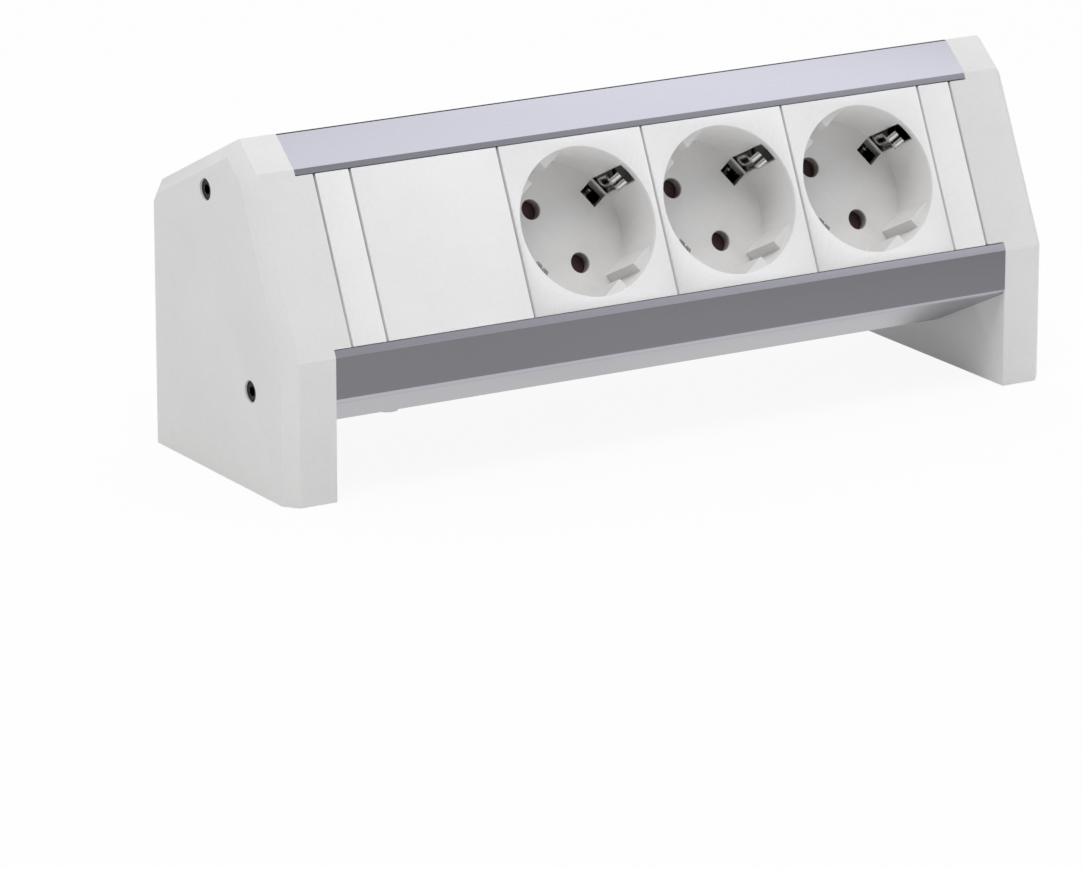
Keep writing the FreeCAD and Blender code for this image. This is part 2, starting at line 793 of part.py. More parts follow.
def make_contact(label, along, side):
    tube = cylinder(f"{label}_tube", "contact_radius", "contact_length", Placement())
    bore = cylinder(f"{label}_bore", "contact_bore", "contact_length", Placement())
    sleeve = without(f"{label}_sleeve", tube, bore)
    corner = Vector(-size("contact_slit") / 2, -size("contact_radius"), size("contact_collar"))
    across = Placement(corner, Rotation())
    slit = box(f"{label}_slit", "contact_slit", "2 * contact_radius", "contact_length", across)
    turn = math.radians(size("socket_turn"))
    reach = side * size("pin_spacing") / 2
    place = seated(along - reach * math.sin(turn), socket_centre() + reach * math.cos(turn), bar_top())
    return without(label, sleeve, slit, place)


def make_shutter(label, along):
    body = new_body(label, seated(along, socket_centre(), turn=size("socket_turn")))
    plate = new_sketch(body, "XY_Plane", below(SHUTTER_TOP))
    half = "shutter_width / 2"
    end = "shutter_length / 2"
    draw_rectangle(plate, below(half), half, below(end), end)
    pad(body, plate, "shutter_thickness", reverse=True)
    post = new_sketch(body, "XY_Plane", below(SHUTTER_BACK))
    low = "spring_offset - post_width / 2"
    draw_rectangle(post, "0 - post_length / 2", "post_length / 2", low, f"{low} + post_width")
    pad(body, post, "post_height", reverse=True)
    return body


# A coil spring lying along the shutter's travel, from its post to its seat.
def make_spring(label, along):
    start = size("post_length") / 2
    length = size("spring_seat") - start
    wire = size("spring_wire")
    coil = size("spring_radius") - wire
    turns = size("spring_turns")
    helix = Part.makeHelix((length - 2 * wire) / turns, length - 2 * wire, coil)
    section = Part.Wire(Part.Circle(Vector(coil, 0, 0), Vector(0, 1, 0), wire).toShape())
    spring = Part.Wire(helix.Edges).makePipeShell([section], True, False)
    result = doc.addObject("Part::Feature", label)
    result.Shape = spring
    inward = contact_top() + size("spring_radius")
    turn = math.radians(size("socket_turn"))
    reach = start + wire
    offset = size("spring_offset")
    x = reach * math.cos(turn) - offset * math.sin(turn)
    y = reach * math.sin(turn) + offset * math.cos(turn)
    place = seated(along + x, socket_centre() + y, inward, size("socket_turn"))
    lying = Rotation(Vector(0, 1, 0), 90)
    result.Placement = Placement(place.Base, place.Rotation.multiply(lying))
    return result


def make_bar(label, shift, width, top):
    start = -size("module_pitch") - size("bar_overhang")
    reach = size("pin_spacing") / 2 * math.cos(math.radians(size("socket_turn")))
    centre = socket_centre() + shift * reach
    place = seated(start, centre - size(width) / 2, top + size("bar_thickness"))
    return box(label, "2.5 * module_pitch + bar_overhang + bar_tail", width, "bar_thickness", place)


# The inlet is drawn with its Z pointing out of the rear wall and its Y down.
def inlet_place(along=0.0, down=0.0):
    depth = size("overall_depth") - size("rear_inset")
    centre = upright(-1.5 * size("module_pitch") + along, depth, size("inlet_height") - down)
    return Placement(centre.Base, Rotation(Vector(1, 0, 0), -90))


PIN_SPOTS = {"line": (1, 1), "neutral": (-1, 1), "earth": (0, -1)}


def make_inlet(label):
    body = new_body(label, inlet_place())
    flange = new_sketch(body, "XY_Plane")
    wide = "inlet_flange_width / 2"
    tall = "inlet_flange_height / 2"
    draw_rectangle(flange, below(wide), wide, below(tall), tall)
    pad(body, flange, "inlet_flange_thickness")
    shell = new_sketch(body, "XY_Plane")
    wide = "inlet_body_width / 2"
    tall = "inlet_body_height / 2"
    draw_rectangle(shell, below(wide), wide, below(tall), tall)
    pad(body, shell, "inlet_body_depth", reverse=True)
    recess = new_sketch(body, "XY_Plane", "inlet_flange_thickness")
    wide = "inlet_recess_width / 2"
    tall = "inlet_recess_height / 2"
    draw_polygon(
        recess,
        [
            (below(wide), tall),
            (below(wide), f"0 - {tall} + inlet_corner"),
            (f"0 - {wide} + inlet_corner", below(tall)),
            (f"{wide} - inlet_corner", below(tall)),
            (wide, f"0 - {tall} + inlet_corner"),
            (wide, tall),
        ],
    )
    pocket(body, recess, "inlet_recess_depth")
    slots = new_sketch(body, "XY_Plane", "0 - inlet_body_depth")
    for across, down in PIN_SPOTS.values():
        x = f"{across} * inlet_pin_pitch"
        y = f"{down} * inlet_pin_shift"
        half = "(inlet_pin_width + screw_clearance) / 2"
        rise = "(inlet_pin_height + screw_clearance) / 2"
        draw_rectangle(slots, f"{x} - {half}", f"{x} + {half}", f"{y} - {rise}", f"{y} + {rise}")
    pocket(body, slots, "inlet_body_depth", reverse=True)
    return body


def make_inlet_pin(label, across, down):
    back = -size("inlet_body_depth") - size("tab_length")
    half = Vector(-size("inlet_pin_width") / 2, -size("inlet_pin_height") / 2, 0)
    blade = box(
        f"{label}_blade",
        "inlet_pin_width",
        "inlet_pin_height",
        "inlet_body_depth + inlet_flange_thickness - inlet_recess_depth + inlet_pin_length",
        Placement(half + Vector(0, 0, -size("inlet_body_depth")), Rotation()),
    )
    thin = Vector(-size("clip_thickness") / 2, -size("inlet_pin_height") / 2, back)
    end = Placement(thin, Rotation())
    tab = box(f"{label}_tab", "clip_thickness", "inlet_pin_height", "tab_length + cut_margin", end)
    place = inlet_place(across * size("inlet_pin_pitch"), down * size("inlet_pin_shift"))
    return joined(label, blade, tab, place)


# A round lead along straight runs joined by arcs tangent to both.
def make_lead(label, points):
    edges = []
    start = points[0]
    for before, corner, after in zip(points, points[1:], points[2:]):
        towards = (before - corner).normalize()
        onwards = (after - corner).normalize()
        shorter = min((before - corner).Length, (after - corner).Length)
        trim = BEND_SHARE * shorter
        first = corner + towards * trim
        last = corner + onwards * trim
        half_turn = (math.pi - towards.getAngle(onwards)) / 2
        radius = trim / math.tan(half_turn)
        inward = (towards + onwards).normalize()
        middle = corner + inward * (radius / math.cos(half_turn) - radius)
        edges.append(Part.LineSegment(start, first).toShape())
        edges.append(Part.Arc(first, middle, last).toShape())
        print(f"{label}: bend radius {radius:.1f} mm")
        start = last
    edges.append(Part.LineSegment(start, points[-1]).toShape())
    path = Part.Wire(edges)
    section = Part.Wire(Part.Circle(points[0], points[1] - points[0], size("lead_radius")).toShape())
    solid = path.makePipeShell([section], True, False)
    expected = math.pi * size("lead_radius") ** 2 * path.Length
    print(f"{label}: volume {solid.Volume:.1f} of {expected:.1f} mm3")
    result = doc.addObject("Part::Feature", label)
    result.Shape = solid
    return result


def make_leads():
    rear = size("overall_depth") / 2 - size("rear_inset")
    tab_end = rear - size("inlet_body_depth") - size("tab_length")
    centre = -1.5 * size("module_pitch")
    bar_end = -size("module_pitch") - size("bar_overhang")
    reach = size("pin_spacing") / 2 * math.cos(math.radians(size("socket_turn")))
    bar_middle = bar_top() + size("bar_thickness") / 2
    earth_middle = contact_top() + size("clip_thickness") + size("bar_thickness") / 2
    ends = {
        "line": seated(bar_end, socket_centre() + reach, bar_middle).Base,
        "neutral": seated(bar_end, socket_centre() - reach, bar_middle).Base,
        "earth": seated(bar_end, socket_centre(), earth_middle).Base,
    }
    bow = size("lead_bow")
    leads = []
    for name, (across, down) in PIN_SPOTS.items():
        x = centre + across * size("inlet_pin_pitch")
        z = size("inlet_height") - down * size("inlet_pin_shift")
        start = Vector(x, tab_end, z)
        out = start - Vector(0, size("lead_exit"), 0)
        end = ends[name]
        before = end - Vector(size("lead_entry"), 0, 0)
        middle = (out + before) / 2 - Vector(0, size("lead_radius"), 0)
        if name == "neutral":
            middle = Vector(centre + size("inlet_pin_pitch"), end.y - bow, end.z - bow / 2)
        leads.append(make_lead(f"lead_{name}", [start, out, middle, before, end]))
    return leads


def make_bond_screw():
    height = size("base_height") - size("bond_head_height")
    head = cylinder("bond_head", "bond_head_radius", "bond_head_height", Placement())
    shank = cylinder("bond_shank", "bond_radius", "bond_head_height + bond_length", Placement())
    depth = chin_run() + size("bond_setback")
    return joined("bond_screw", head, shank, upright(-size("bond_offset"), depth, height))


def make_bond_nut():
    half = -size("bond_nut_width") / 2
    centred = Placement(Vector(half, half, 0), Rotation())
    block = box("bond_nut_block", "bond_nut_width", "bond_nut_width", "bond_nut_height", centred)
    hole = cylinder("bond_nut_hole", "bond_radius + thread_clearance", "bond_nut_height", Placement())
    height = size("base_height") + size("wall_thickness")
    place = upright(-size("bond_offset"), chin_run() + size("bond_setback"), height)
    return without("bond_nut", block, hole, place)


def make_socket(number, along):
    return [
        make_insert(f"socket_{number}_insert", along),
        make_housing(f"socket_{number}_housing", along),
        make_housing_screws(f"socket_{number}_screws", along),
        make_clip(f"socket_{number}_earth_clip", along),
        make_contact(f"socket_{number}_line_contact", along, 1),
        make_contact(f"socket_{number}_neutral_contact", along, -1),
        make_shutter(f"socket_{number}_shutter", along),
        make_spring(f"socket_{number}_spring", along),
    ]


def make_all():
    pitch = size("module_pitch")
    spacer = size("spacer_width")
    spacer_centre = 2 * pitch + spacer / 2
    parts = [
        make_profile(),
        make_cap("cap_left", -1),
        make_cap("cap_right", 1),
        make_cap_screws("cap_screws_left", -1),
        make_cap_screws("cap_screws_right", 1),
        make_cover("spacer_left", -spacer_centre, "spacer_width"),
        make_cover("spacer_right", spacer_centre, "spacer_width"),
        make_cover("blank_cover", -1.5 * pitch, "module_pitch"),
        make_bar("busbar_line", 1, "bar_width", bar_top()),
        make_bar("busbar_neutral", -1, "bar_width", bar_top()),
        make_bar("earth_bar", 0, "earth_bar_width", contact_top() + size("clip_thickness")),
        make_inlet("inlet_body"),
        make_bond_screw(),
        make_bond_nut(),
    ]
    for number, along in enumerate((-pitch / 2, pitch / 2, 1.5 * pitch), start=1):
        parts += make_socket(number, along)
    for name, (across, down) in PIN_SPOTS.items():
        parts.append(make_inlet_pin(f"inlet_pin_{name}", across, down))
    parts += make_leads()
    return parts


parts = make_all()
doc.recompute()

for item in doc.Objects:
    troubles = [state for state in item.State if state in ("Invalid", "Error")]
    if troubles:
        raise RuntimeError(f"{item.Label} did not recompute: {troubles}")
for part in parts:
    if part.Shape.isNull() or not part.Shape.isValid():
        raise RuntimeError(f"{part.Label} has no valid shape")

os.makedirs("parts", exist_ok=True)
for part in parts:
    part.Shape.exportStep(f"parts/{part.Label}.step")
print(f"{len(parts)} sub-parts written")
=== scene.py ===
import json
import math
import bmesh
import bpy
from mathutils import Matrix, Vector


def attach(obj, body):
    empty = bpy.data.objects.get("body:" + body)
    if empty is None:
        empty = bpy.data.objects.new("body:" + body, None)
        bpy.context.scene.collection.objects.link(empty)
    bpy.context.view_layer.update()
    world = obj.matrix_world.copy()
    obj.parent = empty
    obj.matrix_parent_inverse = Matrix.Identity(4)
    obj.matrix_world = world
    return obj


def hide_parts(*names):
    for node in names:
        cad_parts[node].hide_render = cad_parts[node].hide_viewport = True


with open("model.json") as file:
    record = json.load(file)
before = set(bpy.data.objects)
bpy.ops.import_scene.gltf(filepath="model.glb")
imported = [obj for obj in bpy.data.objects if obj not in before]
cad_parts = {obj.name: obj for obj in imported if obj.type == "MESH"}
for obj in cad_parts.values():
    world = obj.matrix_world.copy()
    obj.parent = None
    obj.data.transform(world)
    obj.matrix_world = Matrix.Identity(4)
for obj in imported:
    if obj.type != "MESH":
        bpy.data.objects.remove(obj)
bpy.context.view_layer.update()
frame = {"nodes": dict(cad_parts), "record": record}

print("frame loaded:", len(frame["nodes"]), "nodes")

# Where the modules sit, in metres and degrees, as the solids have them
row = {
    "pitch": 0.0429,
    "firstSocket": -0.02145,
    "slopeFoot": (0.0, -0.0368, 0.0373),
    "slopeAngle": 64.8,
    "socketUp": 0.0245,
    "socketTurn": 34.8,
}


# Hex colours are written as seen on a screen and turned linear here.
def linearColor(hexText, alpha=1.0):
    channels = []
    for start in (1, 3, 5):
        value = int(hexText[start:start + 2], 16) / 255
        channels.append(value / 12.92 if value <= 0.04045 else ((value + 0.055) / 1.055) ** 2.4)
    return (*channels, alpha)


# Adds one node, sets its properties and inputs, and links what is given as a socket.
def addNode(tree, kind, settings=None, inputs=None):
    node = tree.nodes.new(kind)
    for name, value in (settings or {}).items():
        setattr(node, name, value)
    for name, value in (inputs or {}).items():
        if isinstance(value, bpy.types.NodeSocket):
            tree.links.new(value, node.inputs[name])
        else:
            node.inputs[name].default_value = value
    return node


def newMaterial(name):
    material = bpy.data.materials.new(name)
    material.use_nodes = True
    material.node_tree.nodes.clear()
    return material, material.node_tree


def colorRamp(tree, factor, stops):
    ramp = addNode(tree, "ShaderNodeValToRGB", inputs={"Fac": factor})
    elements = ramp.color_ramp.elements
    elements[0].position, elements[0].color = stops[0]
    elements[1].position, elements[1].color = stops[-1]
    for position, color in stops[1:-1]:
        elements.new(position).color = color
    return ramp.outputs["Color"]


# Moulded plastic: a fine eroded grain in the bump and a faint cloud in the colour.
# Painted shade below the well's floor: where it fades in behind the plates' face, and its colour
wellFloorPaintedShade = {
    "above": 0.0178,  # behind the plates' face, just past the well's floor
    "below": 0.0186,
    "shade": "#B4B2B0",
}


def mouldedPlastic(name, base, shade, grainMm, grainDepthMm, roughness, ior=1.52, paintedWellShade=None):
    material, tree = newMaterial(name)
    place = addNode(tree, "ShaderNodeTexCoord").outputs["Object"]
    cloud = addNode(tree, "ShaderNodeTexNoise", inputs={
        "Vector": place, "Scale": 28.0, "Detail": 4.0, "Roughness": 0.6}).outputs["Fac"]
    grain = addNode(tree, "ShaderNodeTexNoise", inputs={
        "Vector": place, "Scale": 1000.0 / grainMm, "Detail": 3.0, "Roughness": 0.65}).outputs["Fac"]
    speck = addNode(tree, "ShaderNodeMath", {"operation": "MULTIPLY_ADD"}, {
        0: grain, 1: 0.7, 2: cloud}).outputs["Value"]
    color = colorRamp(tree, speck, [(0.55, linearColor(shade)), (1.05, linearColor(base))])
    if paintedWellShade:
        # Painted shade: behind the sloping face, in the wells and the gaps between plates, the colour is
        # multiplied by a greyer tint
        lean = math.radians(row["slopeAngle"])
        foot = row["slopeFoot"]
        behind = addNode(tree, "ShaderNodeVectorMath", {"operation": "DOT_PRODUCT"}, {
            0: place, 1: (0.0, math.sin(lean), -math.cos(lean))}).outputs["Value"]
        face = foot[1] * math.sin(lean) - foot[2] * math.cos(lean)
        depth = addNode(tree, "ShaderNodeMapRange", inputs={
            "Value": behind, "From Min": face + 0.0004, "From Max": face + 0.0012}).outputs["Result"]
        color = addNode(tree, "ShaderNodeMix", {"data_type": "RGBA", "blend_type": "MULTIPLY"}, {
            "Factor": depth, 6: color, 7: linearColor(paintedWellShade)}).outputs[2]
        # and a darker painted shade below the well's floor, inside the pin holes and the clip's slots
        below = addNode(tree, "ShaderNodeMapRange", inputs={
            "Value": behind, "From Min": face + wellFloorPaintedShade["above"], "From Max": face + wellFloorPaintedShade["below"]}).outputs["Result"]
        color = addNode(tree, "ShaderNodeMix", {"data_type": "RGBA", "blend_type": "MULTIPLY"}, {
            "Factor": below, 6: color, 7: linearColor(wellFloorPaintedShade["shade"])}).outputs[2]
    gloss = addNode(tree, "ShaderNodeMapRange", inputs={
        "Value": cloud, "From Min": 0.3, "From Max": 0.7,
        "To Min": roughness - 0.04, "To Max": roughness + 0.05}).outputs["Result"]
    bump = addNode(tree, "ShaderNodeBump", inputs={
        "Height": grain, "Strength": 0.6, "Distance": grainDepthMm / 1000}).outputs["Normal"]
    shader = addNode(tree, "ShaderNodeBsdfPrincipled", inputs={
        "Base Color": color, "Roughness": gloss, "Normal": bump, "IOR": ior})
    addNode(tree, "ShaderNodeOutputMaterial", inputs={"Surface": shader.outputs["BSDF"]})
    return material


# Worked metal: an even fine grain, drawn out along X where the stock was drawn.
def workedMetal(name, base, shade, roughness, grainMm, stretch=1.0, grainDepthMm=0.002, paintedShades=None):
    material, tree = newMaterial(name)
    place = addNode(tree, "ShaderNodeTexCoord").outputs["Object"]
    drawn = addNode(tree, "ShaderNodeMapping", inputs={
        "Vector": place, "Scale": (1.0 / stretch, 1.0, 1.0)}).outputs["Vector"]
    lines = addNode(tree, "ShaderNodeTexNoise", inputs={
        "Vector": drawn, "Scale": 1000.0 / grainMm, "Detail": 4.0, "Roughness": 0.6}).outputs["Fac"]
    color = colorRamp(tree, lines, [(0.3, linearColor(shade)), (0.7, linearColor(base))])
    # Painted reflection and shade: a tint read from each face's attribute multiplies the colour
    if paintedShades:
        paintedShade = addNode(tree, "ShaderNodeAttribute", {"attribute_name": "paintedShade"}).outputs["Fac"]
        tint = colorRamp(tree, paintedShade, [(level, linearColor(hexText)) for level, hexText in paintedShades])
        color = addNode(tree, "ShaderNodeMix", {"data_type": "RGBA", "blend_type": "MULTIPLY"}, {
            "Factor": 1.0, 6: color, 7: tint}).outputs[2]
    gloss = addNode(tree, "ShaderNodeMapRange", inputs={
        "Value": lines, "From Min": 0.3, "From Max": 0.7,
        "To Min": roughness - 0.03, "To Max": roughness + 0.03}).outputs["Result"]
    bump = addNode(tree, "ShaderNodeBump", inputs={
        "Height": lines, "Strength": 0.5, "Distance": grainDepthMm / 1000}).outputs["Normal"]
    shader = addNode(tree, "ShaderNodeBsdfPrincipled", inputs={
        "Base Color": color, "Metallic": 1.0, "Roughness": gloss, "Normal": bump})
    addNode(tree, "ShaderNodeOutputMaterial", inputs={"Surface": shader.outputs["BSDF"]})
    return material


# Painted reflection and shade on the profile's faces, one tint for each way a face looks, from dark to light
profilePaintedShades = [
    (0.0, "#4A4A4E"), (0.2, "#9C9C9C"), (0.4, "#CDCDCE"),
    (0.6, "#DDDDDE"), (0.8, "#D6D6D4"), (1.0, "#FFFFFF")]

finishes = {
    # Moulded ABS with a spark-eroded skin, which scatters light evenly
    "capAbs": mouldedPlastic("mouldedAbsWhite", "#E0DFDD", "#D8D7D5", 0.6, 0.05, 0.5),
    # Moulded polycarbonate from a smoother tool, a little glossier, with painted shade in the wells
    "modulePolycarbonate": mouldedPlastic(
        "mouldedPolycarbonateWhite", "#ECECEB", "#E4E4E3", 0.6, 0.02, 0.4, 1.58, "#F6F5F4"),
    "housingPolyamide": mouldedPlastic("mouldedPolyamideGrey", "#BDBDBB", "#AFAFAD", 0.6, 0.04, 0.55),
    # Extruded aluminium, etched and anodised: a flat satin metal with a very fine grain, tinted by face with
    # painted reflection and shade
    "anodisedAluminium": workedMetal(
        "extrudedAnodisedAluminium", "#DEDEE6", "#D8D8E0", 0.42, 0.5, 2.0, 0.006, profilePaintedShades),
    "blackOxideSteel": workedMetal("blackOxideSteel", "#3A3938", "#232221", 0.42, 0.4),
    "nickelSteel": workedMetal("nickelPlatedSpringSteel", "#D9D8D4", "#C5C4C0", 0.2, 0.6),
    "zincSteel": workedMetal("zincPlatedSteel", "#C6C9CD", "#B2B5BA", 0.32, 0.5),
    "brass": workedMetal("rolledBrass", "#D3B06A", "#BD9850", 0.3, 0.4),
    "shutterPolyamide": mouldedPlastic("mouldedPolyamideBrown", "#4A2C29", "#3A211F", 0.5, 0.02, 0.5),
    "inletPolyamide": mouldedPlastic("mouldedPolyamideBlack", "#232324", "#18181A", 0.5, 0.04, 0.45),
    "brownSheath": mouldedPlastic("extrudedPvcBrown", "#6A3F22", "#573218", 0.5, 0.01, 0.4),
    "blueSheath": mouldedPlastic("extrudedPvcBlue", "#2D55A0", "#234788", 0.5, 0.01, 0.4),
    "greenSheath": mouldedPlastic("extrudedPvcGreenYellow", "#8FAE2A", "#7A9820", 0.5, 0.01, 0.4),
}
print("finishes made:", len(finishes))


# A copy of a CAD node with its flat triangles joined again and its edges eased.
def easedCopy(node, pieceName, material, edge, segments=2):
    source = frame["nodes"][node]
    mesh = source.data.copy()
    mesh.materials.clear()
    mesh.materials.append(material)
    work = bmesh.new()
    work.from_mesh(mesh)
    for face in work.faces:
        face.material_index = 0
    bmesh.ops.remove_doubles(work, verts=work.verts, dist=1e-6)
    bmesh.ops.dissolve_limit(work, angle_limit=math.radians(1.0), verts=work.verts, edges=work.edges)
    work.to_mesh(mesh)
    work.free()
    piece = bpy.data.objects.new(pieceName, mesh)
    bpy.context.scene.collection.objects.link(piece)
    for polygon in mesh.polygons:
        polygon.use_smooth = True
    bevel = piece.modifiers.new("easedEdges", "BEVEL")
    bevel.width = edge
    bevel.segments = segments
    bevel.limit_method = "ANGLE"
    bevel.angle_limit = math.radians(23)
    bevel.use_clamp_overlap = True
    bevel.harden_normals = True
    return piece


def finishPiece(piece, nodes, body="body"):
    for node in nodes:
        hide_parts(node)
    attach(piece, body)


caps = {"edge": 0.0004, "segments": 3}
for side in ("left", "right"):
    cap = easedCopy(f"cap_{side}", f"endCap_{side}", finishes["capAbs"], caps["edge"], caps["segments"])
    finishPiece(cap, [f"cap_{side}"])

extrusion = {
    "edge": 0.00025,
    "segments": 2,
    # levels of painted reflection and shade for each group of faces, 0 dark to 1 light
    "upperLip": 0.4,
    "lowerLip": 0.6,
    "front": 0.2,
    "underside": 0.8,
    "crestLine": 0.0,
    "elsewhere": 1.0,
}


# Painted reflection and shade: the extrusion's forward faces are tinted darker than its top strip, the
# underside lighter, the crest line darkest.
def extrusionPaintedShade(normal, height):
    forward, up = normal.y, normal.z
    if abs(normal.x) > 0.5:
        return extrusion["elsewhere"]
    if forward < -0.95:
        return extrusion["front"]
    if forward < -0.8:
        return extrusion["upperLip"] if height > 0.06 else extrusion["lowerLip"]
    if up > 0.85 and forward > -0.5 and forward < 0.3:
        return extrusion["crestLine"]
    if up < -0.3:
        return extrusion["underside"]
    return extrusion["elsewhere"]


profile = easedCopy(
    "profile", "extrudedProfile", finishes["anodisedAluminium"], extrusion["edge"], extrusion["segments"])
# Painted reflection and shade, stored on each face by which way it looks
paintedShade = profile.data.attributes.new("paintedShade", "FLOAT", "FACE")
for index, polygon in enumerate(profile.data.polygons):
    paintedShade.data[index].value = extrusionPaintedShade(polygon.normal, polygon.center.z)
finishPiece(profile, ["profile"])

plates = {"edge": 0.00022, "segments": 2}
for node in ("spacer_left", "spacer_right", "blank_cover"):
    piece = easedCopy(
        node, f"{node}_plate", finishes["modulePolycarbonate"], plates["edge"], plates["segments"])
    finishPiece(piece, [node])
print("caps, extrusion and plates made")


# Adds a named input to a tree and returns its identifier.
def addInput(tree, name, kind, value):
    item = tree.interface.new_socket(name=name, in_out="INPUT", socket_type=kind)
    if value is not None:
        item.default_value = value
    return item.identifier


def newTree(name):
    tree = bpy.data.node_groups.new(name, "GeometryNodeTree")
    tree.interface.new_socket(name="Geometry", in_out="INPUT", socket_type="NodeSocketGeometry")
    tree.interface.new_socket(name="Geometry", in_out="OUTPUT", socket_type="NodeSocketGeometry")
    return tree


# Runs a tree on an object and keeps the result as a plain mesh.
def madeByNodes(base, tree, values, pieceName, material):
    modifier = base.modifiers.new(tree.name, "NODES")
    modifier.node_group = tree
    for identifier, value in values.items():
        modifier[identifier] = value
    graph = bpy.context.evaluated_depsgraph_get()
    mesh = bpy.data.meshes.new_from_object(base.evaluated_get(graph))
    mesh.materials.clear()
    mesh.materials.append(material)
    base.modifiers.remove(modifier)
    piece = bpy.data.objects.new(pieceName, mesh)
    bpy.context.scene.collection.objects.link(piece)
    return piece


def meshObject(name, points, edges=(), faces=()):
    mesh = bpy.data.meshes.new(name)
    mesh.from_pydata(points, edges, faces)
    made = bpy.data.objects.new(name, mesh)
    bpy.context.scene.collection.objects.link(made)
    return made


# Repeats the input along the row, and ends with real mesh and its material.
def rowTree():
    tree = newTree("socketRow")
    names = {
        "Sockets": addInput(tree, "Sockets", "NodeSocketInt", 3),
        "Pitch": addInput(tree, "Pitch", "NodeSocketFloat", 0.04),
        "Finish": addInput(tree, "Finish", "NodeSocketMaterial", None),
    }
    given = addNode(tree, "NodeGroupInput").outputs
    step = addNode(tree, "ShaderNodeCombineXYZ", inputs={"X": given["Pitch"]}).outputs["Vector"]
    line = addNode(tree, "GeometryNodeMeshLine", inputs={"Count": given["Sockets"], "Offset": step})
    copies = addNode(tree, "GeometryNodeInstanceOnPoints", inputs={
        "Points": line.outputs["Mesh"], "Instance": given["Geometry"]})
    real = addNode(tree, "GeometryNodeRealizeInstances", inputs={"Geometry": copies.outputs["Instances"]})
    dressed = addNode(tree, "GeometryNodeSetMaterial", inputs={
        "Geometry": real.outputs["Geometry"], "Material": given["Finish"]})
    addNode(tree, "NodeGroupOutput", inputs={"Geometry": dressed.outputs["Geometry"]})
    return tree, names


inserts = {"edge": 0.00028, "segments": 2}
firstInsert = easedCopy(
    "socket_1_insert", "firstInsert", finishes["modulePolycarbonate"], inserts["edge"], inserts["segments"])
rowNodes, rowNames = rowTree()
socketInserts = madeByNodes(firstInsert, rowNodes, {
    rowNames["Sockets"]: 3, rowNames["Pitch"]: row["pitch"],
    rowNames["Finish"]: finishes["modulePolycarbonate"]}, "socketInserts", finishes["modulePolycarbonate"])
bpy.data.objects.remove(firstInsert)
finishPiece(socketInserts, [f"socket_{number}_insert" for number in (1, 2, 3)])
print("socket inserts repeated along the row")

# The strip's middle line, drawn flat: across from the socket's centre, then out along the slope
clips = {
    "strip": 0.0006,
    "width": 0.0038,
    "slit": 0.0007,
    "bend": 0.0009,
    "legOut": 0.0203,
    "kneeOut": 0.0157,
    "topOut": 0.0181,
    "top": -0.0034,
    "knee": -0.0053,
    "heel": -0.0120,
    "back": -0.0236,
}


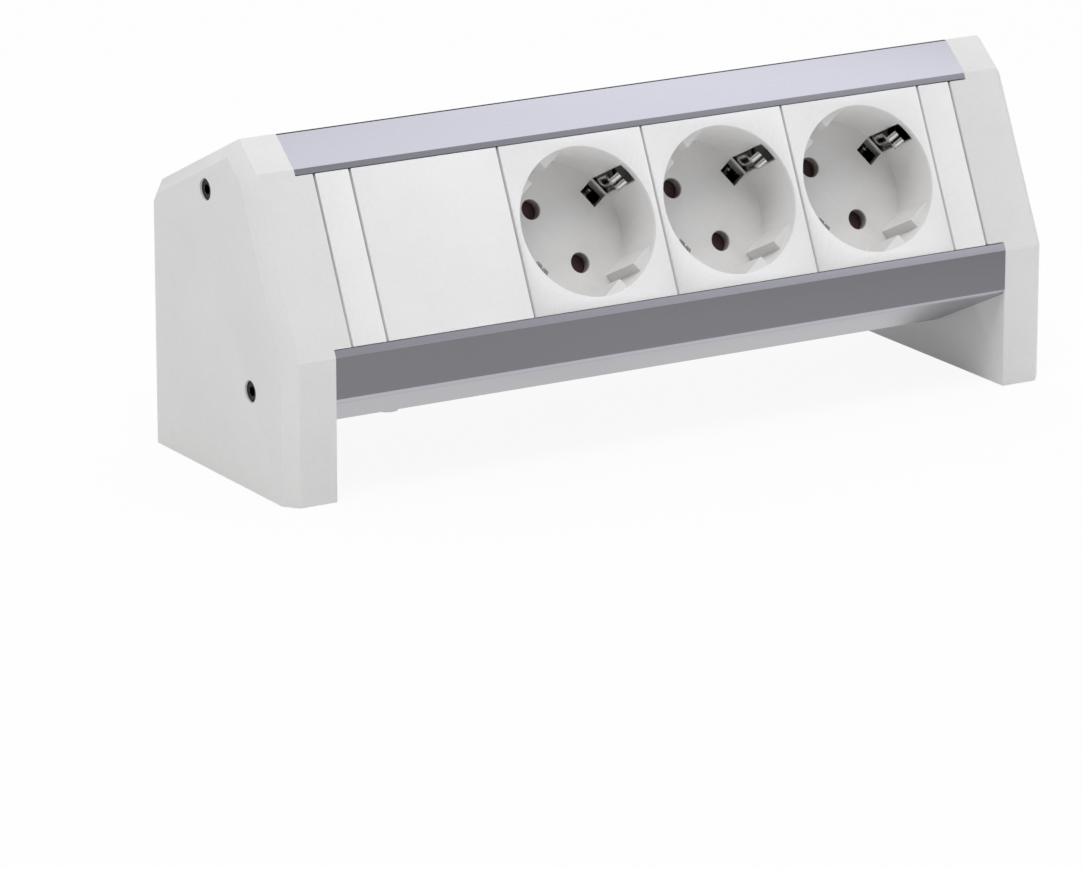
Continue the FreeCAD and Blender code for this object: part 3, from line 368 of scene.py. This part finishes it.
# Bends flat strip along each path: a pair of fingers each side and the leg below them.
def clipTree():
    tree = newTree("earthClipStrips")
    names = {}
    for name in ("Thickness", "Width", "Slit", "Bend", "Pitch"):
        names[name] = addInput(tree, name, "NodeSocketFloat", 0.001)
    names["Sockets"] = addInput(tree, "Sockets", "NodeSocketInt", 3)
    names["Centre"] = addInput(tree, "Centre", "NodeSocketVector", None)
    names["Turn"] = addInput(tree, "Turn", "NodeSocketVector", None)
    names["Opposite"] = addInput(tree, "Opposite", "NodeSocketVector", None)
    names["Finish"] = addInput(tree, "Finish", "NodeSocketMaterial", None)
    given = addNode(tree, "NodeGroupInput").outputs
    isFinger = addNode(tree, "GeometryNodeInputNamedAttribute", {"data_type": "BOOLEAN"}, {
        "Name": "finger"}).outputs["Attribute"]
    parted = addNode(tree, "GeometryNodeSeparateGeometry", {"domain": "POINT"}, {
        "Geometry": given["Geometry"], "Selection": isFinger})
    bare = addNode(tree, "ShaderNodeMath", {"operation": "SUBTRACT"}, {
        0: given["Width"], 1: given["Slit"]}).outputs["Value"]
    fingerWidth = addNode(tree, "ShaderNodeMath", {"operation": "MULTIPLY"}, {
        0: bare, 1: 0.5}).outputs["Value"]
    both = addNode(tree, "ShaderNodeMath", {"operation": "ADD"}, {
        0: fingerWidth, 1: given["Slit"]}).outputs["Value"]
    aside = addNode(tree, "ShaderNodeMath", {"operation": "MULTIPLY"}, {0: both, 1: 0.5}).outputs["Value"]
    across = addNode(tree, "ShaderNodeMath", {"operation": "MULTIPLY"}, {0: aside, 1: -1.0}).outputs["Value"]
    strips = []
    for source, width in (
            (parted.outputs["Selection"], fingerWidth), (parted.outputs["Inverted"], given["Width"])):
        path = addNode(tree, "GeometryNodeMeshToCurve", inputs={"Mesh": source}).outputs["Curve"]
        bent = addNode(tree, "GeometryNodeFilletCurve", inputs={
            "Curve": path, "Radius": given["Bend"], "Limit Radius": True})
        bent.mode = "POLY"
        bent.inputs["Count"].default_value = 6
        level = addNode(tree, "GeometryNodeSetCurveNormal", inputs={"Curve": bent.outputs["Curve"]})
        level.mode = "Z_UP"
        section = addNode(tree, "GeometryNodeCurvePrimitiveQuadrilateral", inputs={
            "Width": given["Thickness"], "Height": width}).outputs["Curve"]
        strips.append(addNode(tree, "GeometryNodeCurveToMesh", inputs={
            "Curve": level.outputs["Curve"], "Profile Curve": section, "Fill Caps": True}).outputs["Mesh"])
    pieces = addNode(tree, "GeometryNodeJoinGeometry")
    for side in (aside, across):
        shift = addNode(tree, "ShaderNodeCombineXYZ", inputs={"Z": side}).outputs["Vector"]
        moved = addNode(tree, "GeometryNodeTransform", inputs={"Geometry": strips[0], "Translation": shift})
        tree.links.new(moved.outputs["Geometry"], pieces.inputs["Geometry"])
    tree.links.new(strips[1], pieces.inputs["Geometry"])
    step = addNode(tree, "ShaderNodeCombineXYZ", inputs={"X": given["Pitch"]}).outputs["Vector"]
    line = addNode(tree, "GeometryNodeMeshLine", inputs={
        "Count": given["Sockets"], "Start Location": given["Centre"], "Offset": step}).outputs["Mesh"]
    everything = addNode(tree, "GeometryNodeJoinGeometry")
    for turn in ("Turn", "Opposite"):
        copies = addNode(tree, "GeometryNodeInstanceOnPoints", inputs={
            "Points": line, "Instance": pieces.outputs["Geometry"], "Rotation": given[turn]})
        tree.links.new(copies.outputs["Instances"], everything.inputs["Geometry"])
    real = addNode(tree, "GeometryNodeRealizeInstances", inputs={"Geometry": everything.outputs["Geometry"]})
    dressed = addNode(tree, "GeometryNodeSetMaterial", inputs={
        "Geometry": real.outputs["Geometry"], "Material": given["Finish"]})
    addNode(tree, "NodeGroupOutput", inputs={"Geometry": dressed.outputs["Geometry"]})
    return tree, names


def slopePoint(up):
    lean = math.radians(row["slopeAngle"])
    return Vector(row["slopeFoot"]) + Vector((0.0, math.cos(lean), math.sin(lean))) * up


# How a flat drawing with its Y out of the slope is turned to one side of a socket
def socketTurn(degrees):
    lean = Matrix.Rotation(math.radians(row["slopeAngle"]), 3, "X")
    about = Matrix.Rotation(math.radians(degrees), 3, "Z")
    stood = Matrix.Rotation(math.radians(90), 3, "X")
    return (lean @ about @ stood).to_euler()


def makeEarthClips():
    leg = [(clips["legOut"], clips["heel"], 0), (clips["legOut"], clips["back"], 0), (0, clips["back"], 0)]
    finger = [
        (clips["legOut"], clips["heel"] - 0.0006, 0),
        (clips["legOut"], clips["heel"], 0),
        (clips["kneeOut"], clips["knee"], 0),
        (clips["topOut"], clips["top"], 0),
    ]
    path = meshObject("clipPaths", leg + finger, [(0, 1), (1, 2), (3, 4), (4, 5), (5, 6)])
    mark = path.data.attributes.new("finger", "BOOLEAN", "POINT")
    for index in range(len(leg), len(leg) + len(finger)):
        mark.data[index].value = True
    tree, names = clipTree()
    centre = slopePoint(row["socketUp"]) + Vector((row["firstSocket"], 0, 0))
    values = {
        names["Thickness"]: clips["strip"], names["Width"]: clips["width"], names["Slit"]: clips["slit"],
        names["Bend"]: clips["bend"], names["Pitch"]: row["pitch"], names["Sockets"]: 3,
        names["Centre"]: tuple(centre), names["Turn"]: tuple(socketTurn(row["socketTurn"])),
        names["Opposite"]: tuple(socketTurn(row["socketTurn"] + 180)),
        names["Finish"]: finishes["nickelSteel"],
    }
    piece = madeByNodes(path, tree, values, "earthClips", finishes["nickelSteel"])
    bpy.data.objects.remove(path)
    return piece


earthClips = makeEarthClips()
print("earth clips bent:", len(earthClips.data.polygons), "faces")
finishPiece(earthClips, [f"socket_{number}_earth_clip" for number in (1, 2, 3)])

slotFinishes = {
    "cap_plastic": "capAbs",
    "anodised_aluminium": "anodisedAluminium",
    "module_plastic": "modulePolycarbonate",
    "housing_plastic": "housingPolyamide",
    "blackened_steel": "blackOxideSteel",
    "sprung_steel": "nickelSteel",
    "contact_brass": "brass",
    "shutter_plastic": "shutterPolyamide",
    "spring_wire": "zincSteel",
    "zinc_plated_steel": "zincSteel",
    "inlet_plastic": "inletPolyamide",
    "brown_sheath": "brownSheath",
    "blue_sheath": "blueSheath",
    "green_yellow_sheath": "greenSheath",
}
for subpart in frame["record"]["subparts"]:
    node = frame["nodes"][subpart["node"]]
    node.data.materials.clear()
    node.data.materials.append(finishes[slotFinishes[subpart["material_slot"]]])
print("solids dressed")


studio = {
    "floorHalf": 3.0,
    "floorColor": "#FBFBFA",
    "floorGlow": 0.93,
    "backdrop": "#FDFDFD",
    "horizon": 0.4,
    "zenith": 1.05,
    "nearWay": (-0.71, -0.71, 0.0),
    "nearSide": 0.5,
    "farSide": 1.35,
    "roomColor": "#FBFBFF",
}


# True to rays that show the background: the lens, a gloss or a clear body.
def backgroundRays(tree):
    path = addNode(tree, "ShaderNodeLightPath")
    seen = addNode(tree, "ShaderNodeMath", {"operation": "MAXIMUM"}, {
        0: path.outputs["Is Camera Ray"], 1: path.outputs["Is Glossy Ray"]}).outputs["Value"]
    return addNode(tree, "ShaderNodeMath", {"operation": "MAXIMUM"}, {
        0: seen, 1: path.outputs["Is Transmission Ray"]}).outputs["Value"]


# Floor that looks white and is only faintly darkened where the object shades it.
def makeFloor():
    material, tree = newMaterial("whiteFloorPaper")
    paper = addNode(tree, "ShaderNodeBsdfDiffuse", inputs={"Color": linearColor(studio["floorColor"])})
    glow = addNode(tree, "ShaderNodeEmission", inputs={"Color": linearColor(studio["backdrop"])})
    shaded = addNode(tree, "ShaderNodeMixShader", inputs={
        "Fac": studio["floorGlow"], 1: paper.outputs["BSDF"], 2: glow.outputs["Emission"]})
    mix = addNode(tree, "ShaderNodeMixShader", inputs={
        "Fac": backgroundRays(tree), 1: paper.outputs["BSDF"], 2: shaded.outputs["Shader"]})
    addNode(tree, "ShaderNodeOutputMaterial", inputs={"Surface": mix.outputs["Shader"]})
    half = studio["floorHalf"]
    floor = meshObject(
        "floorPaper",
        [(-half, -half, -0.0002), (half, -half, -0.0002), (half, half, -0.0002), (-half, half, -0.0002)],
        faces=[(0, 1, 2, 3)])
    floor.data.materials.append(material)


makeFloor()


# A pale room, lighter overhead, that the lens sees as bare white.
def makeWorld():
    world = bpy.data.worlds.new("studioRoom")
    bpy.context.scene.world = world
    world.use_nodes = True
    tree = world.node_tree
    tree.nodes.clear()
    path = addNode(tree, "ShaderNodeLightPath")
    way = addNode(tree, "ShaderNodeTexCoord").outputs["Generated"]
    height = addNode(tree, "ShaderNodeSeparateXYZ", inputs={"Vector": way}).outputs["Z"]
    level = addNode(tree, "ShaderNodeMapRange", inputs={
        "Value": height, "From Min": 0.0, "From Max": 0.9,
        "To Min": studio["horizon"], "To Max": studio["zenith"]}).outputs["Result"]
    towards = addNode(tree, "ShaderNodeVectorMath", {"operation": "DOT_PRODUCT"}, {
        0: way, 1: studio["nearWay"]}).outputs["Value"]
    shade = addNode(tree, "ShaderNodeMapRange", inputs={
        "Value": towards, "From Min": -1.0, "From Max": 1.0,
        "To Min": studio["farSide"], "To Max": studio["nearSide"]}).outputs["Result"]
    strength = addNode(tree, "ShaderNodeMath", {"operation": "MULTIPLY"}, {
        0: level, 1: shade}).outputs["Value"]
    room = addNode(tree, "ShaderNodeBackground", inputs={
        "Color": linearColor(studio["roomColor"]), "Strength": strength})
    white = addNode(tree, "ShaderNodeBackground", inputs={
        "Color": linearColor(studio["backdrop"]), "Strength": 1.0})
    mix = addNode(tree, "ShaderNodeMixShader", inputs={
        "Fac": path.outputs["Is Camera Ray"], 1: room.outputs["Background"], 2: white.outputs["Background"]})
    addNode(tree, "ShaderNodeOutputWorld", inputs={"Surface": mix.outputs["Shader"]})


makeWorld()

lamps = {
    "key": {"place": (-0.9, -1.1, 3.4), "aim": (0, 0, 0.04), "size": 1.8, "power": 56.0},
}


def makeLamps():
    for name, lamp in lamps.items():
        data = bpy.data.lights.new(f"{name}Softbox", "AREA")
        data.shape = "SQUARE"
        data.size = lamp["size"]
        data.energy = lamp["power"]
        light = bpy.data.objects.new(f"{name}Softbox", data)
        bpy.context.scene.collection.objects.link(light)
        light.visible_glossy = False  # the metal mirrors the even room, not the lamp's edge
        light.location = lamp["place"]
        towards = Vector(lamp["aim"]) - Vector(lamp["place"])
        light.rotation_euler = towards.to_track_quat("-Z", "Y").to_euler()


makeLamps()

view = {
    "target": (-0.02372, -0.0068, -0.0018),  # metres, in the object's frame
    "azimuth": 31.17,  # degrees from the front towards the left end
    "elevation": 16.46,
    "distance": 1.69059,
    "lens": 216.63,
}


def makeCamera():
    turn, rise = math.radians(view["azimuth"]), math.radians(view["elevation"])
    back = Vector((-math.sin(turn) * math.cos(rise), -math.cos(turn) * math.cos(rise), math.sin(rise)))
    data = bpy.data.cameras.new("photoCamera")
    data.sensor_fit = "HORIZONTAL"
    data.sensor_width = 36.0
    data.lens = view["lens"]
    data.clip_end = 20.0
    camera = bpy.data.objects.new("photoCamera", data)
    bpy.context.scene.collection.objects.link(camera)
    camera.location = Vector(view["target"]) + back * view["distance"]
    camera.rotation_euler = (-back).to_track_quat("-Z", "Y").to_euler()
    bpy.context.scene.camera = camera


makeCamera()
bpy.context.scene.view_settings.view_transform = "Standard"

print("scene ready")
